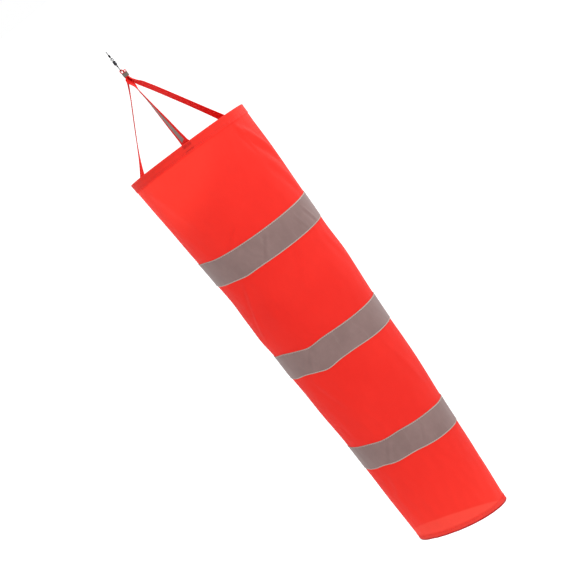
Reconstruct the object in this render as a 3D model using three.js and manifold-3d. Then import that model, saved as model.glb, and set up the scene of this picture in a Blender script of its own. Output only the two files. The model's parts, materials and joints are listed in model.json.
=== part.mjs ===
// Windsock with a hooped mouth, three bridle straps, a barrel swivel and a wire snap.
// It hangs from the snap: the origin is the inside top of the snap's bow, +Z is up, lengths are
// in millimetres. The bridle and sock are drawn upright in their own group, and the group is
// turned a little about the swivel's lower eye, so that the centre of mass hangs under it.
import * as THREE from 'three';
import { mergeVertices } from 'three/addons/utils/BufferGeometryUtils.js';
import Module from 'manifold-3d';

const wasm = await Module();
wasm.setup();

// ---- driving dimensions ----
const GAP = 0.3;                 // clearance between neighbouring solids

const WIRE_R = 0.65;             // snap wire
const BOW_R = 3.25;              // snap bow, to the wire's centre line
const COVER = { top: -6.2, bottom: -11.2, sheet: 0.5, inside: 2.2, back: 4.6, open: -4.4 };
const SNAP_FOOT_Z = -15.3;       // centre of the wire at the foot of the snap

const UPPER_EYE = { ring: 2.1, wire: 0.6 };
const BARREL = { top: -19.1, height: 8.6, outer: 2.75, wall: 0.6, end: 0.8, hole: 0.95 };
const SHANK_R = 0.6;
const HEAD = { radius: 1.8, height: 1.1, gap: 0.35 };
const LOWER_EYE = { ring: 4.6, wire: 0.75, centre: -36.4, neckRadius: 1.35, neckTop: -28.3 };

const PIVOT_Z = LOWER_EYE.centre - LOWER_EYE.ring;   // the bridle swings on this point
const HANG_TILT = THREE.MathUtils.degToRad(2.24);    // sock axis to the vertical
const EAR = { tube: 1.05, loop: 2.25 };              // gathered webbing through the lower eye
const FOLD = { x: 5.3, z: -2.7, outer: 2.6, inner: 1.1, width: 17 };
const CORE = { x: 2.6, top: -4.2, bottom: -11.8, width: 8.4, depth: 18.4 };
const COLLAR = { height: 7, bottom: -11.6, sheet: 0.6 };

const WEBBING = { width: 20, gathered: 18, thick: 1.2, spread: 24, drop: 14 };
const STRAP_TOP = -12.2;
const STRIPE = { width: 9, thick: 0.3, gap: 0.45, start: 0.06, end: 0.93 };
const STRAP_TAB = { length: 15, clear: 1.1 };        // strap end sewn down inside the hem
const TACK = { width: 14, height: 3, thick: 0.8, drop: 8 };

const SOCK = { x: 14, mouth: -165, length: 804, mouthR: 116.8, tailR: 80.8 };
const BOW = 6.8;                 // the sock's middle stands this far out of line in X
const CLOTH = 0.6;               // shell of each fabric panel
const PANEL_ROWS = 4;
const HOOP = { wire: 2, drop: 4.1, joint: 1 };
const FERRULE = { inner: 2.25, outer: 2.75, length: 16 };
const HEM = { depth: 18, channel: 6.6 };
const HEM_DEEP = 2 * CLOTH + HEM.channel;            // both walls of the hem and the channel
const HOOP_R = SOCK.mouthR - HEM_DEEP / 2;           // the hoop lies mid-channel
const TAIL_HEM = { depth: 9, thick: 1.4 };
const BAND_HEIGHT = 50;
const BAND_THICK = 0.8;
const BAND_TOPS = [180, 388.5, 595.5];               // below the mouth, along the sock
const BALLOON = [0.6, 2.2, 1.8, 0.4];                // how far each panel fills out
const SEAM = { width: 9, thick: 1.2, clear: 0.8, short: 2 };
const MOUTH_TILT = 14;          // the front of the hoop is pulled up by this much
const MOUTH_TILT_FADE = 150;
const SKEW = { mouth: 1, grow: 10, over: 330 };      // straight-cut cloth climbs to its side seam
const TAIL_DROP = 13.6;          // the tail hangs this much lower on its right

const STRAPS = [
  { name: 'front', angle: 92.5, topX: 2.6, turn: 3, side: -1 },
  { name: 'left', angle: 210, topX: 0.4, turn: 6, side: -1 },
  { name: 'right', angle: 316, topX: 4.8, turn: 0.6, side: 1 },
];

// ---- materials ----
const finish = (color, roughness, metalness = 0) =>
  new THREE.MeshStandardMaterial({ color, roughness, metalness });
const BLACK_NICKEL = finish(0x34363a, 0.3, 0.9);
const RED_CLOTH = finish(0xe03228, 0.65);
const RED_WEBBING = finish(0xc81e1a, 0.8);
const RED_THREAD = finish(0xa81814, 0.85);
const REFLECTIVE = finish(0x948078, 0.45, 0.2);
const HOOP_STEEL = finish(0x9a9a9a, 0.4, 0.8);

// ---- solids ----
// One closed body: shared vertices merged and faces turned outward.
function solid(geometry) {
  const merged = geometry.clone();
  merged.deleteAttribute('normal');
  merged.deleteAttribute('uv');
  const welded = mergeVertices(merged, 1e-4);
  const at = welded.attributes.position;
  const index = welded.index.array;
  const kept = [];
  let volume = 0;
  const corner = [new THREE.Vector3(), new THREE.Vector3(), new THREE.Vector3()];
  for (let i = 0; i < index.length; i += 3) {
    const face = [index[i], index[i + 1], index[i + 2]];
    if (face[0] === face[1] || face[1] === face[2] || face[2] === face[0]) continue;
    face.forEach((vertex, k) => corner[k].fromBufferAttribute(at, vertex));
    volume += corner[0].dot(corner[1].clone().cross(corner[2]));
    kept.push(face);
  }
  welded.setIndex(kept.flatMap(([a, b, c]) => (volume < 0 ? [a, c, b] : [a, b, c])));
  return welded;
}

function toManifold(geometry) {
  const closed = solid(geometry);
  return new wasm.Manifold(new wasm.Mesh({
    numProp: 3,
    vertProperties: new Float32Array(closed.attributes.position.array),
    triVerts: new Uint32Array(closed.index.array),
  }));
}

function joined(...geometries) {
  const whole = geometries.map(toManifold).reduce((sum, piece) => sum.add(piece));
  const mesh = whole.getMesh();
  const geometry = new THREE.BufferGeometry();
  geometry.setAttribute('position', new THREE.BufferAttribute(mesh.vertProperties, 3));
  geometry.setIndex(new THREE.BufferAttribute(mesh.triVerts, 1));
  return geometry;
}

const mesh = (name, geometry, material) => {
  const part = new THREE.Mesh(solid(geometry), material);
  part.name = name;
  return part;
};

// Upright cylinder between two heights.
function post(radius, low, high, sides = 12) {
  return new THREE.CylinderGeometry(radius, radius, high - low, sides)
    .rotateX(Math.PI / 2).translate(0, 0, (low + high) / 2);
}

// Round bar along a curve. A circle takes two sides for each curve segment.
function bar(curve, radius, steps, sides = 8) {
  const section = new THREE.Shape().absarc(0, 0, radius, 0, 2 * Math.PI);
  return new THREE.ExtrudeGeometry(section, {
    steps, curveSegments: sides / 2, bevelEnabled: false, extrudePath: curve,
  });
}

const yz = (points) => points.map(([y, z]) => new THREE.Vector3(0, y, z));

// ---- the sock's surface ----
const panelEdges = [0, ...BAND_TOPS.flatMap((top) => [top, top + BAND_HEIGHT]), SOCK.length];

function sockRadius(down) {
  const cone = THREE.MathUtils.lerp(SOCK.mouthR, SOCK.tailR, down / SOCK.length);
  for (let panel = 0; panel < BALLOON.length; panel += 1) {
    const from = panelEdges[2 * panel];
    const to = panelEdges[2 * panel + 1];
    if (down > from && down < to) {
      return cone + BALLOON[panel] * Math.sin(Math.PI * (down - from) / (to - from)) ** 2;
    }
  }
  return cone;
}

// A point of the sock: how far down it lies, its angle round the axis (0 is +X, 90 degrees is
// the front, -Y), and how far it stands out from the cloth's outer face.
function sockPoint(down, angle, out) {
  const radius = sockRadius(down) + out;
  const away = Math.atan2(Math.sin(angle), Math.cos(angle)) / Math.PI;
  const skew = SKEW.mouth + SKEW.grow * (1 - Math.exp(-down / SKEW.over));
  const fade = 1 - THREE.MathUtils.smoothstep(down, 0, MOUTH_TILT_FADE);
  const share = down / SOCK.length;
  return new THREE.Vector3(
    SOCK.x + BOW * Math.sin(Math.PI * share) + radius * Math.cos(angle),
    -radius * Math.sin(angle),
    SOCK.mouth - down + skew * (away * away - 1 / 3) + MOUTH_TILT * fade * Math.sin(angle)
      - TAIL_DROP * share * share * Math.cos(angle),
  );
}

// A tube wall wrapped on the sock. Its section is a closed outline of [out, down] points.
function sockRing(outline, around = 44) {
  const base = 100;
  const profile = [...outline, outline[0]].map(([out, down]) => new THREE.Vector2(base + out, down));
  const geometry = new THREE.LatheGeometry(profile, around);
  const at = geometry.attributes.position;
  for (let i = 0; i < at.count; i += 1) {
    const angle = Math.atan2(at.getX(i), at.getZ(i));
    const out = Math.hypot(at.getX(i), at.getZ(i)) - base;
    const point = sockPoint(at.getY(i), angle, out);
    at.setXYZ(i, point.x, point.y, point.z);
  }
  return geometry;
}

function sleeve(from, to, inner, outer, rows) {
  const steps = Array.from({ length: rows + 1 }, (_, i) => from + (to - from) * i / rows);
  return sockRing([...steps.map((down) => [outer, down]),
    ...steps.reverse().map((down) => [inner, down])]);
}

// A flat strip: a box bent so that place(along, across, through) gives each of its points.
function strip(length, rows, place, columns = 1) {
  const geometry = new THREE.BoxGeometry(1, 1, 1, columns, 1, rows);
  const at = geometry.attributes.position;
  for (let i = 0; i < at.count; i += 1) {
    const point = place((at.getZ(i) + 0.5) * length, at.getX(i), at.getY(i));
    at.setXYZ(i, point.x, point.y, point.z);
  }
  return geometry;
}

// ---- snap ----
function snapWire() {
  const bowZ = WIRE_R - BOW_R;
  const bow = Array.from({ length: 9 }, (_, i) => {
    const turn = Math.PI * i / 8;
    return [BOW_R * Math.cos(turn), bowZ + BOW_R * Math.sin(turn)];
  });
  const foot = [[-0.9, -7.6], [-1.1, -9.6], [-2.2, -12.2], [-1.9, -14.2], [0, SNAP_FOOT_Z],
    [1.9, -14.2], [2.9, -11.6], [BOW_R, -8.6], [BOW_R, -5.4]];
  const curve = new THREE.CatmullRomCurve3(yz([...foot, ...bow]), false, 'centripetal');
  return mesh('snap_wire', bar(curve, WIRE_R, 44), BLACK_NICKEL);
}

function snapGate() {
  const hinge = WIRE_R - BOW_R;
  const curve = new THREE.CatmullRomCurve3(
    yz([[-BOW_R, hinge - GAP], [-BOW_R, -5], [-BOW_R, -7.6], [-BOW_R + 0.2, -9.8]]));
  return mesh('snap_gate', bar(curve, WIRE_R, 10), BLACK_NICKEL);
}

// Folded sheet cover over both legs, open on the gate's side.
function snapCover() {
  const half = COVER.inside / 2;
  const outside = half + COVER.sheet;
  const outline = new THREE.Shape();
  outline.moveTo(-outside, COVER.open);
  outline.lineTo(-outside, COVER.back - outside);
  outline.absarc(0, COVER.back - outside, outside, Math.PI, 0, true);
  outline.lineTo(outside, COVER.open);
  outline.lineTo(half, COVER.open);
  outline.lineTo(half, COVER.back - outside);
  outline.absarc(0, COVER.back - outside, half, 0, Math.PI, false);
  outline.lineTo(-half, COVER.open);
  outline.closePath();
  const height = COVER.top - COVER.bottom;
  const geometry = new THREE.ExtrudeGeometry(outline, {
    depth: height, bevelEnabled: false, curveSegments: 6,
  }).translate(0, 0, COVER.bottom);
  return mesh('snap_cover', geometry, BLACK_NICKEL);
}

// ---- swivel ----
function upperEye() {
  const hole = UPPER_EYE.ring - UPPER_EYE.wire;
  const ringZ = SNAP_FOOT_Z + WIRE_R + GAP - hole;
  const ring = new THREE.TorusGeometry(UPPER_EYE.ring, UPPER_EYE.wire, 8, 24)
    .rotateX(Math.PI / 2).translate(0, 0, ringZ);
  const headTop = BARREL.top - BARREL.end - HEAD.gap;
  const shank = post(SHANK_R, headTop - HEAD.height / 2, ringZ - UPPER_EYE.ring);
  const head = post(HEAD.radius, headTop - HEAD.height, headTop);
  return mesh('swivel_upper_eye', joined(ring, shank, head), BLACK_NICKEL);
}

function barrel() {
  const { top, height, outer, wall, end, hole } = BARREL;
  const bottom = top - height;
  const crimp = 0.35;
  const shoulder = 1.3;
  const profile = [
    [hole, top], [outer - crimp - 0.5, top], [outer - crimp, top - 0.5],
    [outer, top - shoulder], [outer, bottom + shoulder],
    [outer - crimp, bottom + 0.5], [outer - crimp - 0.5, bottom], [hole, bottom],
    [hole, bottom + end], [outer - wall, bottom + end], [outer - wall, top - end],
    [hole, top - end], [hole, top],
  ].map(([radius, z]) => new THREE.Vector2(radius, z));
  return mesh('swivel_barrel', new THREE.LatheGeometry(profile, 20).rotateX(Math.PI / 2),
    BLACK_NICKEL);
}

function lowerEye() {
  const ring = new THREE.TorusGeometry(LOWER_EYE.ring, LOWER_EYE.wire, 8, 28)
    .rotateY(Math.PI / 2).translate(0, 0, LOWER_EYE.centre);
  const headBottom = BARREL.top - BARREL.height + BARREL.end + HEAD.gap;
  const ringTop = LOWER_EYE.centre + LOWER_EYE.ring;
  const shank = post(SHANK_R, ringTop, headBottom + HEAD.height / 2);
  const neck = post(LOWER_EYE.neckRadius, ringTop - 0.2, LOWER_EYE.neckTop);
  const head = post(HEAD.radius, headBottom, headBottom + HEAD.height);
  return mesh('swivel_lower_eye', joined(ring, shank, neck, head), BLACK_NICKEL);
}

// ---- bridle: heights here are from the pivot ----
// Webbing gathered through the lower eye, a second fold beside it, and the stitched core.
function bridleLoop() {
  const ear = new THREE.TorusGeometry(EAR.loop, EAR.tube, 8, 24).rotateX(Math.PI / 2);
  const neck = new THREE.CylinderGeometry(1.3, 2.2, 3, 12).rotateX(Math.PI / 2)
    .translate(0.2, 0, -3.6);
  const fold = new THREE.Shape().absarc(0, 0, FOLD.outer, 0, 2 * Math.PI);
  fold.holes.push(new THREE.Path().absarc(0, 0, FOLD.inner, 0, 2 * Math.PI));
  const folded = new THREE.ExtrudeGeometry(fold, {
    depth: FOLD.width, bevelEnabled: false, curveSegments: 8,
  }).rotateX(Math.PI / 2).translate(FOLD.x, FOLD.width / 2, FOLD.z);
  const core = new THREE.BoxGeometry(CORE.width, CORE.depth, CORE.top - CORE.bottom)
    .translate(CORE.x, 0, (CORE.top + CORE.bottom) / 2);
  return mesh('bridle_loop', joined(ear, neck, folded, core), RED_WEBBING);
}

function loopCollar() {
  const halfX = CORE.width / 2 + GAP;
  const halfY = CORE.depth / 2 + GAP;
  const ring = (x, y, Path) => {
    const path = new Path();
    path.moveTo(-x, -y);
    path.lineTo(x, -y);
    path.lineTo(x, y);
    path.lineTo(-x, y);
    path.closePath();
    return path;
  };
  const outline = ring(halfX + COLLAR.sheet, halfY + COLLAR.sheet, THREE.Shape);
  outline.holes.push(ring(halfX, halfY, THREE.Path));
  const geometry = new THREE.ExtrudeGeometry(outline, {
    depth: COLLAR.height, bevelEnabled: false,
  }).translate(CORE.x, 0, COLLAR.bottom);
  return mesh('loop_collar', geometry, REFLECTIVE);
}

// Each strap leaves the collar straight down, runs to the rim and goes on down inside the hem.
// It starts with its width along Y and turns until its width lies along the rim.
function strapRun({ angle, topX, turn }) {
  const radians = THREE.MathUtils.degToRad(angle);
  const inside = -(HEM_DEEP + STRAP_TAB.clear + WEBBING.thick / 2);
  const top = new THREE.Vector3(topX, 0, STRAP_TOP);
  const rim = sockPoint(-GAP, radians, inside);
  const tab = sockPoint(STRAP_TAB.length, radians, inside);
  const line = new THREE.CubicBezierCurve3(
    top, top.clone().setZ(STRAP_TOP - WEBBING.drop), top.clone().lerp(rim, 0.15), rim);
  const run = line.getLength();
  const length = run + rim.distanceTo(tab);
  const rimWay = new THREE.Vector3(-Math.sin(radians), -Math.cos(radians), 0);
  if (rimWay.y < 0) rimWay.negate();
  const frame = (along) => {
    const t = Math.min(along / run, 1);
    const centre = along <= run
      ? line.getPointAt(t)
      : rim.clone().lerp(tab, (along - run) / (length - run));
    const way = along <= run ? line.getTangentAt(t) : tab.clone().sub(rim).normalize();
    const across = new THREE.Vector3(0, 1, 0).lerp(rimWay, t ** turn);
    across.addScaledVector(way, -across.dot(way)).normalize();
    return { centre, across, through: way.clone().cross(across).normalize() };
  };
  return { run, length, frame };
}

function strapWidth(along) {
  const open = THREE.MathUtils.smoothstep(along, 0, WEBBING.spread);
  return THREE.MathUtils.lerp(WEBBING.gathered, WEBBING.width, open);
}

function strap(spec) {
  const { length, frame } = strapRun(spec);
  const geometry = strip(length, 30, (along, across, through) => {
    const at = frame(along);
    return at.centre.addScaledVector(at.across, across * strapWidth(along))
      .addScaledVector(at.through, through * WEBBING.thick);
  }, 2);
  return mesh(`strap_${spec.name}`, geometry, RED_WEBBING);
}

function stripe(spec) {
  const { run, frame } = strapRun(spec);
  const lift = spec.side * (WEBBING.thick / 2 + STRIPE.gap + STRIPE.thick / 2);
  const geometry = strip(run * (STRIPE.end - STRIPE.start), 26, (along, across, through) => {
    const at = frame(run * STRIPE.start + along);
    return at.centre.addScaledVector(at.across, across * STRIPE.width)
      .addScaledVector(at.through, lift + through * STRIPE.thick);
  });
  return mesh(`stripe_${spec.name}`, geometry, REFLECTIVE);
}

// Bar tack that sews the strap's end to the hem.
function tack(spec) {
  const radians = THREE.MathUtils.degToRad(spec.angle);
  const out = -(HEM_DEEP + STRAP_TAB.clear + WEBBING.thick + GAP + TACK.thick / 2);
  const geometry = strip(TACK.height, 1, (along, across, through) => {
    const sweep = across * TACK.width / SOCK.mouthR;
    return sockPoint(TACK.drop + along, radians + sweep, out + through * TACK.thick);
  });
  return mesh(`strap_tack_${spec.name}`, geometry, RED_THREAD);
}

// ---- mouth: the hoop's own plane follows the hem ----
class HoopLine extends THREE.Curve {
  constructor(from, to) {
    super();
    this.from = from;
    this.to = to;
  }

  getPoint(t, target = new THREE.Vector3()) {
    const angle = THREE.MathUtils.lerp(this.from, this.to, t);
    return target.copy(sockPoint(HOOP.drop, angle, HOOP_R - SOCK.mouthR));
  }
}

function mouthHoop() {
  const half = HOOP.joint / HOOP_R / 2;
  const line = new HoopLine(Math.PI + half, 3 * Math.PI - half);
  return mesh('mouth_hoop', bar(line, HOOP.wire, 60), HOOP_STEEL);
}

function hoopFerrule() {
  const half = FERRULE.length / HOOP_R / 2;
  const section = new THREE.Shape().absarc(0, 0, FERRULE.outer, 0, 2 * Math.PI);
  section.holes.push(new THREE.Path().absarc(0, 0, FERRULE.inner, 0, 2 * Math.PI));
  const geometry = new THREE.ExtrudeGeometry(section, {
    steps: 4, curveSegments: 6, bevelEnabled: false,
    extrudePath: new HoopLine(Math.PI - half, Math.PI + half),
  });
  return mesh('hoop_ferrule', geometry, HOOP_STEEL);
}

// The hem folds over the hoop and comes down inside; its channel is open below.
function mouthHem() {
  const inner = -HEM_DEEP;
  const geometry = sockRing([
    [0, 0], [0, HEM.depth / 2], [0, HEM.depth], [-CLOTH, HEM.depth], [-CLOTH, CLOTH],
    [inner + CLOTH, CLOTH], [inner + CLOTH, HEM.depth], [inner, HEM.depth], [inner, 0],
  ]);
  return mesh('mouth_hem', geometry, RED_CLOTH);
}

// ---- sock ----
function panel(number) {
  const top = number === 0 ? HEM.depth : panelEdges[2 * number];
  const last = number === BAND_TOPS.length;
  const bottom = last ? SOCK.length - TAIL_HEM.depth : panelEdges[2 * number + 1];
  return mesh(`sock_panel_${number + 1}`, sleeve(top + GAP, bottom, -CLOTH, 0, PANEL_ROWS), RED_CLOTH);
}

// Seam allowance, folded and overlocked inside the panel along the side seam.
function sideSeam(number) {
  const last = number === BAND_TOPS.length;
  const top = (number === 0 ? HEM.depth : panelEdges[2 * number]) + SEAM.short;
  const bottom = panelEdges[2 * number + 1] - (last ? TAIL_HEM.depth : 0) - SEAM.short;
  const out = -(CLOTH + SEAM.clear + SEAM.thick / 2);
  const geometry = strip(bottom - top, PANEL_ROWS, (along, across, through) =>
    sockPoint(top + along, Math.PI + across * SEAM.width / sockRadius(top + along),
      out + through * SEAM.thick));
  return mesh(`side_seam_${number + 1}`, geometry, RED_CLOTH);
}

function band(number) {
  const top = BAND_TOPS[number];
  const geometry = sleeve(top + GAP, top + BAND_HEIGHT, 0.1 - BAND_THICK, 0.1, 2);
  return mesh(`reflective_band_${number + 1}`, geometry, REFLECTIVE);
}

function tailHem() {
  const top = SOCK.length - TAIL_HEM.depth + GAP;
  return mesh('tail_hem', sleeve(top, SOCK.length, 0.4 - TAIL_HEM.thick, 0.4, 1), RED_CLOTH);
}

// ---- assembly ----
const windsock = new THREE.Group();
windsock.add(snapWire(), snapGate(), snapCover(), upperEye(), barrel(), lowerEye());

const hanging = new THREE.Group();
hanging.position.z = PIVOT_Z;
hanging.rotation.y = HANG_TILT;
hanging.add(bridleLoop(), loopCollar());
for (const spec of STRAPS) hanging.add(strap(spec), stripe(spec), tack(spec));
hanging.add(mouthHoop(), hoopFerrule(), mouthHem(), tailHem());
for (let number = 0; number <= BAND_TOPS.length; number += 1) {
  hanging.add(panel(number), sideSeam(number));
}
for (let number = 0; number < BAND_TOPS.length; number += 1) hanging.add(band(number));
windsock.add(hanging);

export default windsock;
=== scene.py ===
"""Looks of a hanging windsock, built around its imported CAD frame.

Everything below the swivel is drawn upright in millimetres, in the bridle's own frame, as the CAD
source draws it, and hang() carries it to metres in the row frame. The cloth, bands, hems and
stitches all lie on one surface, sock_points(), which adds the folds and puckers of real cloth.
Angles round the sock start at +X and grow towards the front, which is -Y."""

import json
from math import atan2, cos, pi, radians, sin, tan

import bmesh
import bpy
import numpy as np
from mathutils import Matrix, Vector


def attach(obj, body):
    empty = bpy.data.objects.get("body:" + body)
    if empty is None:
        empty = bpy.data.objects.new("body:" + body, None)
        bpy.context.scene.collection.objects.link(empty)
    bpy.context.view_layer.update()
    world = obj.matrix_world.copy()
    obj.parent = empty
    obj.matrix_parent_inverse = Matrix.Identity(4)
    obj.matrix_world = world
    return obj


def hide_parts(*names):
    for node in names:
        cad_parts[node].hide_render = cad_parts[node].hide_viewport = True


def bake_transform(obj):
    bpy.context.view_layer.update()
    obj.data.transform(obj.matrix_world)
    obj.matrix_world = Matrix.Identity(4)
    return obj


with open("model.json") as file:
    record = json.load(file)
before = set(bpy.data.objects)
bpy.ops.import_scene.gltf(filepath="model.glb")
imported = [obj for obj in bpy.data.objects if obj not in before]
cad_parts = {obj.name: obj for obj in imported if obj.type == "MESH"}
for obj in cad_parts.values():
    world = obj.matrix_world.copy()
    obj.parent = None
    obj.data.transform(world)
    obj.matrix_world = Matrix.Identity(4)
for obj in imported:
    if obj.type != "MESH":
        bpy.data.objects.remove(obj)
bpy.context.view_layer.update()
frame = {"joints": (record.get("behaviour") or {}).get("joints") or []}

MM = 0.001

# ---- where things hang ----
JOINTS = {j["name"]: j for j in frame["joints"]}
PIVOT = np.array(JOINTS["bridle_swing"]["pos_m"])
BENDS = [np.array(JOINTS[f"bend_{i}"]["pos_m"]) for i in (1, 2, 3)]
LEAN = atan2(BENDS[0][0] - BENDS[2][0], BENDS[0][2] - BENDS[2][2])

# ---- driving dimensions, in millimetres ----
MOUTH_Z, LENGTH, AXIS_X = -165.0, 804.0, 14.0       # the mouth's height and the sock's axis
MOUTH_R, TAIL_R = 116.8, 80.8
BAND_TOPS, BAND_HEIGHT = (180.0, 388.5, 595.5), 50.0
BALLOON = (0.6, 2.2, 1.8, 0.4)    # how far each panel swells between its ends
BOW = 6.8                         # how far the axis bows to the right at half its length
MOUTH_TILT, TILT_FADE = 14.0, 150.0     # the mouth is higher at the front, for that far down
TAIL_DROP = 13.6                  # the tail is lower at the right
SKEW_MOUTH, SKEW_GROW, SKEW_OVER = 1.0, 10.0, 330.0     # rings rise towards the left
HEM, TAIL_HEM = 18.0, 9.0
HOOP_WIRE = 2.0                   # radius
WEBBING_W, WEBBING_T, STRIPE_W = 20.0, 1.2, 9.0
STRAP_TOP, STRAP_ABOVE = -12.2, 3.0     # straps start there, and that far up inside the knot
AROUND = 288                      # points round the sock
ROW = 2.6                         # millimetres between its rows
EDGES = [0.0]
for band_top in BAND_TOPS:
    EDGES += [band_top, band_top + BAND_HEIGHT]
EDGES.append(LENGTH)
PANELS = list(zip(EDGES[::2], EDGES[1::2]))         # top and bottom of each, without its tucks


def hang(points):
    """Upright bridle millimetres to row-frame metres."""
    p = np.asarray(points, float)
    c, s = cos(LEAN), sin(LEAN)
    turned = np.stack([p[..., 0] * c + p[..., 2] * s, p[..., 1],
                       -p[..., 0] * s + p[..., 2] * c], axis=-1)
    return turned * MM + PIVOT


def ease(x, low, high):
    """A smooth step from 0 at low to 1 at high."""
    t = np.clip((np.asarray(x, float) - low) / (high - low), 0, 1)
    return t * t * (3 - 2 * t)


def wrapped(angle):
    """The same angle between -pi and pi."""
    return np.angle(np.exp(1j * angle))


def circle(count):
    """Angles spaced evenly round a full turn."""
    return np.arange(count) * 2 * pi / count


def spaced(low, high, step):
    """Numbers from low to high, about a step apart."""
    return np.linspace(low, high, max(2, int(round(abs(high - low) / step)) + 1))


def unit(v):
    v = np.asarray(v, float)
    return v / np.linalg.norm(v, axis=-1, keepdims=True)


def steps(path):
    """Length of each step of a path."""
    return np.linalg.norm(np.diff(path, axis=0), axis=1)


def run_along(path):
    """How far along a path each of its points is."""
    return np.concatenate([[0], np.cumsum(steps(path))])


def sample(path, run, at):
    """A path's points at those distances along it."""
    return np.stack([np.interp(at, run, path[:, i]) for i in range(3)], axis=1)


# ---- the sock's surface ----
def waves(seed, count, turns, climb, size):
    """Random waves round and down the sock: (turns round, rate down, phase, height)."""
    rng = np.random.default_rng(seed)
    return [(int(rng.integers(turns[0], turns[1] + 1)), rng.uniform(-climb, climb),
             rng.uniform(0, 2 * pi), size * rng.uniform(0.5, 1)) for _ in range(count)]


LONG_FOLDS = waves(3, 7, (2, 6), 0.012, 0.34)
CRUMPLE = waves(5, 26, (7, 30), 0.09, 0.055)
PUCKERS = waves(8, 7, (38, 78), 0.02, 0.11)
PUCKER_REACH = 7.0                # millimetres from a sewn line
# Drag creases: from (mm down, degrees) to (mm down, degrees), height and width in mm.
CREASES = [
    (240, 128, 356, 160, 1.5, 6), (236, 62, 304, 84, 0.8, 7), (244, 30, 334, 12, 1.0, 8),
    (24, 150, 120, 128, 0.9, 9), (26, 44, 116, 6, 3.2, 8), (90, 36, 172, 12, 1.6, 9),
    (22, 44, 80, 38, 1.2, 4), (26, 58, 110, 66, 0.8, 8), (150, 100, 182, 118, 0.8, 5),
    (449, 140, 524, 118, 1.1, 7), (452, 50, 564, 30, 0.9, 8), (364, 110, 392, 96, 0.8, 5),
    (654, 130, 734, 150, 0.9, 7), (652, 70, 704, 48, 0.7, 6), (186, 82, 232, 98, 1.5, 3.5),
    (190, 36, 234, 24, 1.1, 3.5), (396, 118, 440, 132, 1.2, 3.5), (600, 108, 646, 124, 1.3, 3.5),
    (240, -60, 344, -30, 1.2, 8), (30, -110, 150, -80, 1.0, 9), (454, -150, 564, -110, 1.1, 8),
    (659, -40, 764, -70, 0.9, 8), (254, -140, 384, -160, 1.2, 8), (564, -60, 596, -75, 0.7, 5),
    (196, 106, 228, 92, 1.0, 3), (188, 52, 226, 44, 0.9, 3), (396, 70, 436, 62, 1.0, 3.5),
    (602, 66, 640, 76, 0.9, 3),
]
# Broad hollows and swellings: mm down, degrees, mm out, and their spread in mm and degrees.
SWELLS = [
    (356, 176, 3.0, 28, 40), (276, 176, -1.8, 30, 40), (90, -170, -0.8, 60, 40),
    (304, 118, 1.6, 70, 14), (524, 116, 1.5, 70, 14), (704, 112, 1.2, 70, 16),
    (304, 96, -1.2, 80, 12), (524, 95, -1.2, 80, 12), (429, 178, 3.2, 50, 36),
]
# Where sewing has dragged the cloth along the sock: mm down, degrees, mm moved down, spreads.
DRAGS = [
    (232, 121, 1.8, 26, 11), (184, 156, -2.2, 26, 14), (388, 117, 3.8, 28, 12),
    (438, 114, 3.6, 24, 11), (388, 152, -2.8, 26, 14), (438, 143, -2.2, 24, 11),
    (438, 80, -2.0, 22, 20), (596, 113, 2.6, 24, 14), (645, 132, -2.4, 20, 12),
    (645, 92, -3.0, 20, 18), (596, 30, 1.6, 26, 24), (596, 72, 1.0, 26, 18),
    (804, 172, 4.5, 60, 24),
]


def bumps(table, down, angle):
    """Sum of the round bumps in a table of SWELLS or DRAGS."""
    total = 0
    for d0, a0, size, d_width, a_width in table:
        turned = np.degrees(wrapped(angle - radians(a0)))
        total = total + size * np.exp(-((down - d0) / d_width) ** 2 - (turned / a_width) ** 2)
    return total


def sum_waves(table, down, angle):
    return sum(size * np.sin(turns * angle + rate * down + phase)
               for turns, rate, phase, size in table)


def radius(down):
    """The sock's radius, swelling a little between its sewn rings."""
    cone = MOUTH_R + (TAIL_R - MOUTH_R) * down / LENGTH
    for (low, high), fill in zip(PANELS, BALLOON):
        share = np.clip((down - low) / (high - low), 0, 1)
        cone = cone + fill * np.sin(pi * share) ** 2
    return cone


def relief(down, angle):
    """How far the cloth's folds stand out from the smooth sock, in millimetres."""
    down, angle = np.broadcast_arrays(np.asarray(down, float), np.asarray(angle, float))
    held = ease(down, 8, 90) * (0.75 + 0.5 * ease(down, 660, 800))
    in_band = sum(ease(down, top - 8, top + 2)
                  * (1 - ease(down, top + BAND_HEIGHT - 2, top + BAND_HEIGHT + 8))
                  for top in BAND_TOPS)
    out = sum_waves(LONG_FOLDS, down, angle) * held * (1 - 0.35 * in_band)
    out = out + bumps(SWELLS, down, angle)
    out = out + sum_waves(CRUMPLE, down, angle) * (0.35 + 0.65 * held) * (1 - 0.4 * in_band)
    ripple = sum_waves(PUCKERS, down, angle) * (0.5 + 0.5 * np.sin(3 * angle + 0.02 * down))
    for line in [HEM, *EDGES[1:-1], LENGTH - TAIL_HEM]:
        out = out + ripple * np.exp(-np.abs(down - line) / PUCKER_REACH)
    for d0, a0, d1, a1, height, width in CREASES:
        mid = MOUTH_R + (TAIL_R - MOUTH_R) * (d0 + d1) / 2 / LENGTH
        across = wrapped(angle - radians(a0)) * mid
        end = np.array([d1 - d0, radians(a1 - a0) * mid])
        size = np.linalg.norm(end)
        way = end / size
        along = ((down - d0) * way[0] + across * way[1]) / size
        off = -(down - d0) * way[1] + across * way[0]
        bulge = np.exp(-(off / width) ** 2) - 0.7 * np.exp(-((off - 1.6 * width) / width) ** 2)
        out = out + height * bulge * ease(along, -0.1, 0.25) * (1 - ease(along, 0.6, 1.15))
    return out


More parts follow.
